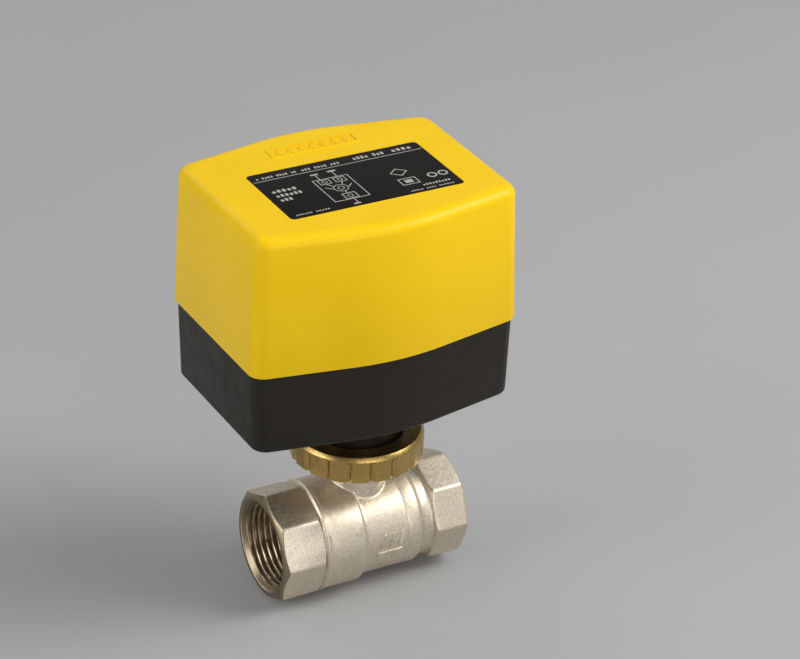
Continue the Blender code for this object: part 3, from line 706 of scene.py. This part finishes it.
def rating_label():
    outline = rounded_box(LABEL_CENTRE, LABEL_HALF, 1.2)
    plate = slab("label_plate", outline, COVER_TOP - 0.4, LABEL_TOP - 0.03, 0.05)
    dress(plate, "label", replaced=["rating_label"])
    shapes = [stroke(-25.6, 9.6, 25.6, 9.6, 0.26)]
    shapes += print_line(-24.3, -12.0, 11.3, 1.1, (1, 4, 4, 2))
    shapes += print_line(-10.6, 1.2, 11.3, 1.1, (3, 4, 3))
    shapes += print_line(5.4, 15.2, 11.7, 1.6, (4, 3))
    shapes += print_line(17.4, 23.8, 11.7, 1.6, (4,))
    shapes += print_line(-23.8, -16.2, 2.5, 1.5, (5,))
    shapes += print_line(-23.8, -15.8, -0.2, 1.5, (6,))
    shapes += print_line(-23.8, -19.9, -2.8, 1.5, (3,))
    shapes += print_line(-24.2, -13.8, -12.5, 0.6, (6, 5))
    shapes += print_line(15.2, 23.8, -10.7, 0.9, (9,))
    shapes += print_line(10.4, 23.8, -12.8, 0.6, (5, 4, 6))
    shapes += [stroke(-8.7, 4.2, -8.7, 6.7), stroke(-3.5, 4.2, -3.5, 6.9), stroke(-5.5, -10.2, -5.5, -12.2)]
    shapes += [stroke(-8.2, 0.4, -7.3, -1.2), stroke(-3.8, 0.4, -4.3, -0.9)]
    shapes += [stroke(-5.65, -4.95, -5.55, -5.95)]
    shapes += [stroke(-9.6, -1.2, -8.1, -2.6), stroke(-3.3, -2.9, -2.0, -1.6)]
    shapes += [bar(-9.9, 6.95, -7.6, 7.7), bar(-4.7, 7.15, -2.2, 7.9), bar(-6.9, -13.1, -4.9, -12.45)]
    shapes += [bar(11.6, -7.9, 14.0, -6.1)]
    bands = [frame_band(-11.0, -9.8, -0.6, 3.9), frame_band(-7.3, -9.4, -3.6, -6.3)]
    bands += [frame_band(-9.8, 0.8, -6.6, 3.4, 0.24), frame_band(-5.2, 0.8, -2.0, 3.4, 0.24)]
    bands += [ring_band((-5.7, -2.8), 2.0), ring_band((-5.7, -2.8), 0.9, 12)]
    bands += [ring_band((-3.6, 2.1), 0.7, 10)]
    bands += [ring_band((-8.2, 2.1), 0.7, 10), ring_band((-5.5, -7.9), 0.8, 10)]
    bands += [lozenge_band((12.8, -1.0), 2.5, 2.1), frame_band(10.3, -8.8, 15.3, -5.2, 0.3)]
    bands += [ring_band((20.4, -6.2), 1.2, 20, 0.5), ring_band((23.7, -6.2), 1.2, 20, 0.5)]
    bm = bmesh.new()
    levels = (LABEL_TOP - 0.06, LABEL_TOP - 0.012)

    def raised(points, z):
        return [bm.verts.new(((LABEL_CENTRE[0] + x) * MM, (LABEL_CENTRE[1] + y) * MM, z * MM))
                for x, y in points]

    def walls(low, high):
        for i in range(len(low)):
            j = (i + 1) % len(low)
            bm.faces.new((low[i], low[j], high[j], high[i]))

    for shape in shapes:
        low, high = [raised(shape, z) for z in levels]
        walls(low, high)
        bm.faces.new(low)
        bm.faces.new(high)
    for outer, inner in bands:
        outer_low, outer_high = [raised(outer, z) for z in levels]
        inner_low, inner_high = [raised(inner, z) for z in levels]
        walls(outer_low, outer_high)
        walls(outer_high, inner_high)
        walls(inner_high, inner_low)
        walls(inner_low, outer_low)
    dress(add("label_print", bm), "label", material=PRINT)


# ---------------------------------------------------------------- pipe threads and octagons
def thread_radius(x, angle, start, end):
    """A G3/4 female thread between two levels, fading out over one pitch at each end."""
    turn = (x / PITCH + angle / math.tau) % 1.0
    depth = THREAD_MAJOR_R - THREAD_MINOR_R
    wave = abs(2 * turn - 1)
    shape = min(1.0, max(0.0, (wave - 0.10) / 0.80))
    fade = min(1.0, max(0.0, min((x - start), (end - x)) / (0.8 * PITCH)))
    return THREAD_MINOR_R + depth * shape * fade


def thread_levels(start, end, per_pitch=12):
    count = round((end - start) / PITCH * per_pitch)
    return [start + (end - start) * i / count for i in range(count + 1)]


def octagon_outline(flats, soft, per_flat=14):
    """(angle, radius) round an octagon with a corner at the top, its corners slightly rounded."""
    radius = flats / 2 / math.cos(math.pi / 8)
    points = [(radius * math.cos(math.tau * i / 8), radius * math.sin(math.tau * i / 8)) for i in range(8)]
    rounded = soften(points, soft, steps=3)
    outline = []
    for i, point in enumerate(rounded):
        outline.append(point)
        if i % 4 == 3:
            ahead = rounded[(i + 1) % len(rounded)]
            for k in range(1, per_flat):
                t = k / per_flat
                outline.append((point[0] * (1 - t) + ahead[0] * t, point[1] * (1 - t) + ahead[1] * t))
    return [(math.atan2(y, x), math.hypot(x, y)) for x, y in outline]


def end_connector():
    columns = []
    thread_start = NEAR_FACE_X + MOUTH_DEPTH * 0.5
    thread_end = NEAR_THREAD_END_X
    for angle, reach in octagon_outline(NEAR_FLATS, 0.7):
        front = NEAR_FACE_X + (reach - FACE_R) * CHAMFER_DEPTH / CHAMFER_RISE
        back = NEAR_BACK_X - max(0.0, reach - NEAR_EDGE_R) * 0.9
        outer = [(FACE_R, NEAR_FACE_X), (reach, front), (reach, back),
                 (min(reach, NEAR_EDGE_R), NEAR_BACK_X + 0.01), (SPIGOT_R, NEAR_BACK_X + 0.02),
                 (SPIGOT_R, SPIGOT_END_X), (PORT_R, SPIGOT_END_X), (PORT_R, NEAR_SHELF_X),
                 (THREAD_MINOR_R, NEAR_SHELF_X)]
        path = soften([(MOUTH_R, NEAR_FACE_X)] + outer, 0.28)
        for x in reversed(thread_levels(thread_start, thread_end)):
            radius = thread_radius(x, angle, thread_start, thread_end)
            mouth = MOUTH_R - (x - NEAR_FACE_X) * (MOUTH_R - THREAD_MINOR_R) / MOUTH_DEPTH
            path.append((max(radius, mouth), x))
        columns.append((angle, path))
    connector = polar("connector", columns, axis="X", sharp=38)
    dress(connector, "nickel_plate", replaced=["end_connector"])
    connector.data.materials.append(MACHINED)
    connector.data.materials.append(SHADED_END_FACE)
    for face in connector.data.polygons:
        radius = math.hypot(face.center.y, face.center.z) / MM
        x = face.center.x / MM
        # The near end face takes the darker copy, which is painted shade; the threads behind it take the
        # machined metal.
        if x < NEAR_FACE_X + CHAMFER_DEPTH and face.normal.x < -0.5:
            face.material_index = 2
        elif radius < THREAD_MAJOR_R + 0.1 and x < NEAR_BACK_X:
            face.material_index = 1


def casting():
    """The outside of the body before machining: barrel, neck and far octagon, melted into one."""
    barrel = turned("casting", [
        (0, BODY_LEFT_X), (SOCKET_R - 0.15, BODY_LEFT_X), (SOCKET_R - 0.15, SOCKET_END_X - 0.5),
        (BARREL_R + 0.3, SOCKET_END_X - 0.1), (BARREL_R, SOCKET_END_X + 0.6), (BARREL_R, BARREL_END_X - 1.4),
        (BARREL_R - 0.5, BARREL_END_X - 0.6), (WAIST_R + 0.2, BARREL_END_X), (WAIST_R, BARREL_END_X + 0.6),
        (WAIST_R, FAR_FRONT_X + 1), (0, FAR_FRONT_X + 1)], axis="X", steps=160)
    neck = turned("neck_casting", [
        (0, 6.0), (8.2, 6.0), (8.1, 14.0), (8.0, 17.0), (8.0, 20.0), (8.8, 22.4), (12.0, 24.4),
        (12.0, BONNET_LOW + 0.6), (0, BONNET_LOW + 0.6)], steps=96)
    columns = []
    for angle, reach in octagon_outline(FAR_FLATS, 0.4):
        crease = FAR_FACE_X - (reach - FACE_R) * CHAMFER_DEPTH / CHAMFER_RISE
        front = FAR_FRONT_X + max(0.0, reach - FAR_EDGE_R) * 0.8
        columns.append((angle, [
            (3, FAR_FRONT_X), (min(reach, FAR_EDGE_R), FAR_FRONT_X), (reach, front), (reach, crease),
            (FACE_R, FAR_FACE_X), (3, FAR_FACE_X)]))
    wrench = polar("far_octagon", columns, axis="X")
    bm = bmesh.new()
    for piece in (barrel, neck, wrench):
        bm.from_mesh(piece.data)
        if piece is not barrel:
            bpy.data.objects.remove(piece)
    bm.to_mesh(barrel.data)
    bm.free()
    remesh = barrel.modifiers.new("remesh", "REMESH")
    remesh.mode = "VOXEL"
    remesh.voxel_size = VOXEL * MM
    applied(barrel)
    bm = bmesh.new()
    bm.from_mesh(barrel.data)
    for _ in range(SMOOTHINGS):
        bmesh.ops.smooth_vert(bm, verts=bm.verts, factor=0.5, use_axis_x=True, use_axis_y=True,
                              use_axis_z=True)
    bm.to_mesh(barrel.data)
    bm.free()
    barrel.data.shade_smooth()
    seam = NEAR_BACK_X + 0.02
    join(barrel, turned("socket", soften([
        (5, seam), (SOCKET_R - 0.55, seam), (SOCKET_R + 0.25, seam + 0.7), (SOCKET_R + 0.25, seam + 1.1),
        (SOCKET_R - 0.1, seam + 1.7), (SOCKET_R, seam + 3.5), (SOCKET_R, SOCKET_END_X - 0.7),
        (SOCKET_R - 0.6, SOCKET_END_X), (BARREL_R - 1, SOCKET_END_X), (5, SOCKET_END_X)], 0.3),
        axis="X", steps=160))
    join(barrel, turned("barrel_step", soften([
        (5, BARREL_STEP_X), (BARREL_R - 0.3, BARREL_STEP_X), (BARREL_R + 0.12, 9.8),
        (BARREL_R + 0.12, BARREL_END_X - 1.5),
        (BARREL_R - 0.5, BARREL_END_X - 0.4), (5, BARREL_END_X - 0.4)], 0.15), axis="X", steps=160))
    return barrel


def valve_body():
    body = casting()
    start = FAR_THREAD_START_X
    end = FAR_FACE_X - MOUTH_DEPTH * 0.5
    columns = []
    for i in range(128):
        angle = math.tau * i / 128
        path = [(0.5, FAR_FACE_X + 1), (0.5, start)]
        for x in thread_levels(start, end):
            mouth = MOUTH_R - (FAR_FACE_X - x) * (MOUTH_R - THREAD_MINOR_R) / MOUTH_DEPTH
            path.append((max(thread_radius(x, angle, start, end), mouth), x))
        path += [(MOUTH_R, FAR_FACE_X), (MOUTH_R, FAR_FACE_X + 1)]
        columns.append((angle, path))
    thread = polar("far_thread", columns, axis="X")
    flow = turned("flow_way", [
        (0, NEAR_BACK_X - 2), (SPIGOT_R + 0.3, NEAR_BACK_X - 2), (SPIGOT_R + 0.3, -10.8),
        (CHAMBER_R, -10.8), (CHAMBER_R, FAR_SEAT_X), (PORT_R, FAR_SEAT_X), (PORT_R, FAR_FACE_X + 2),
        (0, FAR_FACE_X + 2)], axis="X", steps=128)
    cut(body, flow, thread)
    ridge = []
    for i in range(3):
        z = BONNET_LOW + 0.25 + 0.55 * i
        ridge += [(BONNET_R - 0.35, z - 0.25), (BONNET_R, z)]
    join(body, turned("bonnet", [(0, BONNET_LOW - 0.3), (BONNET_R - 1.2, BONNET_LOW - 0.3)] + ridge + [
        (BONNET_R - 0.5, BONNET_TOP - 0.2), (BONNET_R - 0.8, BONNET_TOP), (0, BONNET_TOP)]))
    cut(body, turned("stem_bore", [
        (0, 9.0), (5.6, 9.0), (5.6, 15.4), (4.6, 15.4), (4.6, 22.4), (5.9, 22.4), (5.9, BONNET_TOP + 1),
        (0, BONNET_TOP + 1)], steps=48))
    flow_marks(body)
    dress(body, "nickel_plate", replaced=["valve_body"])
    body.data.materials.append(MACHINED)
    for face in body.data.polygons:
        radius = math.hypot(face.center.y, face.center.z) / MM
        x = face.center.x / MM
        if (x > FAR_FACE_X - 0.05) or (radius < 13.6 and x > 13) or face.center.z / MM > BONNET_LOW:
            face.material_index = 1


def raised_mark(outline):
    """A raised shape wrapped round the barrel; outline holds (x, distance down from the top line)."""
    bm = bmesh.new()
    cx = sum(x for x, y in outline) / len(outline)
    cy = sum(y for x, y in outline) / len(outline)
    rows = []
    for rise, keep in ((-0.5, 1.0), (0.16, 1.0), (0.30, 0.86)):
        row = []
        for x, y in outline:
            angle = (cy + (y - cy) * keep) / BARREL_R
            radius = BARREL_R + rise
            row.append(bm.verts.new(((cx + (x - cx) * keep) * MM, -radius * math.sin(angle) * MM,
                                     radius * math.cos(angle) * MM)))
        rows.append(row)
    for a, b in zip(rows, rows[1:]):
        for i in range(len(a)):
            j = (i + 1) % len(a)
            bm.faces.new((a[i], a[j], b[j], b[i]))
    bm.faces.new(rows[0])
    bm.faces.new(rows[-1])
    return add("raised_mark", bm)


def flow_marks(body):
    """Plain raised marks on the front of the barrel: a flow line and three slanting bars."""
    marks = []
    for x in (0.5, 3.3, 6.1):
        slanting = [(x, 25.1), (x + 1.3, 20.2), (x + 2.5, 20.2), (x + 1.2, 25.1)]
        marks.append(raised_mark(soften(slanting, 0.4)))
    line = [(-0.3, 25.9), (8.0, 25.9), (8.0, 26.4), (1.2, 26.4), (-0.3, 27.3)]
    marks.append(raised_mark(soften(line, 0.15)))
    join(body, gathered("marks", marks))


# ---------------------------------------------------------------- nut, ball and seats
def nut_outline():
    """(angle, radius) round the nut's lugs and V grooves."""
    pitch = math.tau / LUG_COUNT
    points = []
    for i in range(LUG_COUNT):
        middle = LUG_PHASE + i * pitch
        for turn, radius in ((-0.5, NUT_R - GROOVE_DEPTH), (-0.32, NUT_R), (0.32, NUT_R)):
            angle = middle + turn * pitch
            points.append((radius * math.cos(angle), radius * math.sin(angle)))
    rounded = soften(points, 0.22, steps=2)
    outline = []
    for i, point in enumerate(rounded):
        outline.append(point)
        ahead = rounded[(i + 1) % len(rounded)]
        parts = 8 if i % 9 == 5 else 4 if i % 3 == 2 else 1
        for k in range(1, parts):
            t = k / parts
            outline.append((point[0] * (1 - t) + ahead[0] * t, point[1] * (1 - t) + ahead[1] * t))
    return [(math.atan2(y, x), math.hypot(x, y)) for x, y in outline]


def union_nut():
    columns = []
    for angle, reach in nut_outline():
        run_out = NUT_RIM_Z - max(0.0, NUT_RIM_R - reach) * 1.1
        inner = [(NUT_THREAD_R, NUT_LOW + 0.5), (NUT_THREAD_R + 0.5, NUT_LOW), (reach - 0.35, NUT_LOW),
                 (reach, NUT_LOW + 0.35), (reach, run_out), (NUT_RIM_R, NUT_RIM_Z + 0.02),
                 (NUT_RIM_R, NUT_TOP - 1.35), (18.45, NUT_TOP - 0.03), (NUT_FACE_R, NUT_TOP),
                 (NUT_HOLE_R + 0.5, NUT_TOP),
                 (NUT_HOLE_R, NUT_TOP - 0.5), (NUT_HOLE_R, NUT_LIP_LOW)]
        path = soften(inner, 0.16)
        path.append((NUT_THREAD_R - 0.3, NUT_LIP_LOW))
        for k in range(3):
            z = NUT_LIP_LOW - 0.4 - 1.0 * k
            path += [(NUT_THREAD_R + 0.1, z), (NUT_THREAD_R - 0.25, z - 0.5)]
        columns.append((angle, path))
    nut = polar("nut", columns, sharp=35)
    dress(nut, "brass", body="ring_nut", replaced=["ring_nut"])


def ball():
    bm = bmesh.new()
    bmesh.ops.create_uvsphere(bm, u_segments=96, v_segments=64, radius=BALL_R * MM)
    sphere = add("ball_sphere", bm)
    cut(sphere, turned("ball_port", [
        (0, -14), (8.4, -14), (8.4, -9.95), (BALL_PORT_R, -9.3), (BALL_PORT_R, 9.3), (8.4, 9.95),
        (8.4, 14), (0, 14)], axis="X", steps=96))
    slot = slab("ball_slot", rounded_box((0, 0), (1.9, 5.5), 0.3, 3), 9.0, 14.0)
    cut(sphere, slot)
    dress(sphere, "chrome_plate", body="output", replaced=["ball"])


def seats():
    for name, side in (("seat_near", -1), ("seat_far", 1)):
        seat = turned(f"{name}_ring", [
            (PORT_R, side * SEAT_BACK_X), (SEAT_R, side * SEAT_BACK_X), (SEAT_R, side * SEAT_FRONT_X),
            (10.8, side * SEAT_FRONT_X),
            (PORT_R, side * 10.1)], axis="X", soft=0.2)
        dress(seat, "ptfe", replaced=[name])


# ---------------------------------------------------------------- stage, light and camera
def stage():
    floor_z = -NEAR_FLATS / 2 / math.cos(math.pi / 8)
    bm = bmesh.new()
    bmesh.ops.create_grid(bm, x_segments=2, y_segments=2, size=4.0)
    floor = add("floor", bm)
    floor.location.z = floor_z * MM
    look = Look("floor")
    look.colour(look.blend(look.noise(900, 2), (0.38, 0.38, 0.385), (0.40, 0.40, 0.405)))
    look.roughness(look.noise(60, 2), 0.60, 0.70)
    floor.data.materials.append(look.material)


LIGHT_TARGET = Vector((0, 0, 0.045))
LIGHT_DISTANCE = 1.3


def softbox(name, heading, elevation, size, watts, colour):
    """A square soft light; heading is measured round +Z from +X, both angles in degrees."""
    light = bpy.data.lights.new(name, "AREA")
    light.shape = "SQUARE"
    light.size = size
    light.energy = watts
    light.color = colour
    obj = bpy.data.objects.new(name, light)
    bpy.context.scene.collection.objects.link(obj)
    turn, rise = math.radians(heading), math.radians(elevation)
    towards = Vector((math.cos(turn) * math.cos(rise), math.sin(turn) * math.cos(rise), math.sin(rise)))
    obj.location = LIGHT_TARGET + towards * LIGHT_DISTANCE
    obj.rotation_euler = (-towards).to_track_quat("-Z", "Y").to_euler()


def lights():
    world = bpy.data.worlds.new("studio")
    bpy.context.scene.world = world
    world.use_nodes = True
    background = world.node_tree.nodes["Background"]
    background.inputs["Color"].default_value = (1.0, 1.0, 1.0, 1)
    background.inputs["Strength"].default_value = 0.32
    softbox("key", -29, 40, 0.65, 10.8, (1.0, 0.99, 0.97))
    softbox("high", -40, 57, 0.7, 3.2, (1.0, 1.0, 0.99))
    softbox("front", -94, 12, 0.9, 5.2, (1.0, 1.0, 1.0))
    softbox("left", 178, 21, 0.9, 7.0, (0.98, 0.99, 1.0))
    softbox("back", 106, 35, 0.8, 2.2, (1.0, 1.0, 1.0))


CAMERA_AZIMUTH = math.radians(-29.192)
CAMERA_ELEVATION = math.radians(28.900)
CAMERA_ROLL = math.radians(1.693)
CAMERA_DISTANCE = 873.29
CAMERA_AIM = (11.452, 56.037)      # right of and above the origin, in the view's plane
CAMERA_LENS = 135.30


def camera():
    a, e, roll = CAMERA_AZIMUTH, CAMERA_ELEVATION, CAMERA_ROLL
    back = Vector((math.sin(a) * math.cos(e), -math.cos(a) * math.cos(e), math.sin(e)))
    right = Vector((math.cos(a), math.sin(a), 0))
    up = back.cross(right)
    place = right * CAMERA_AIM[0] + up * CAMERA_AIM[1] + back * CAMERA_DISTANCE
    level = right * math.cos(roll) + up * math.sin(roll)
    upright = up * math.cos(roll) - right * math.sin(roll)
    data = bpy.data.cameras.new("camera")
    data.lens = CAMERA_LENS
    data.sensor_width = 36.0
    data.clip_start = 0.01
    obj = bpy.data.objects.new("camera", data)
    bpy.context.scene.collection.objects.link(obj)
    axes = Matrix((level, upright, back)).transposed().to_4x4()
    obj.matrix_world = Matrix.Translation(place * MM) @ axes
    bpy.context.scene.camera = obj
    bpy.context.scene.view_settings.view_transform = "Standard"


def plain_nodes():
    """The CAD nodes that stay get the material of their slot."""
    for entry in frame["record"]["subparts"]:
        node = frame["nodes"][entry["node"]]
        node.data.materials.clear()
        node.data.materials.append(LOOKS[entry["material_slot"]])


camera()
lights()
stage()
plain_nodes()
cover()
base_housing()
cover_seal()
cable_grommet()
cover_screws()
rating_label()
end_connector()
valve_body()
union_nut()
ball()
seats()
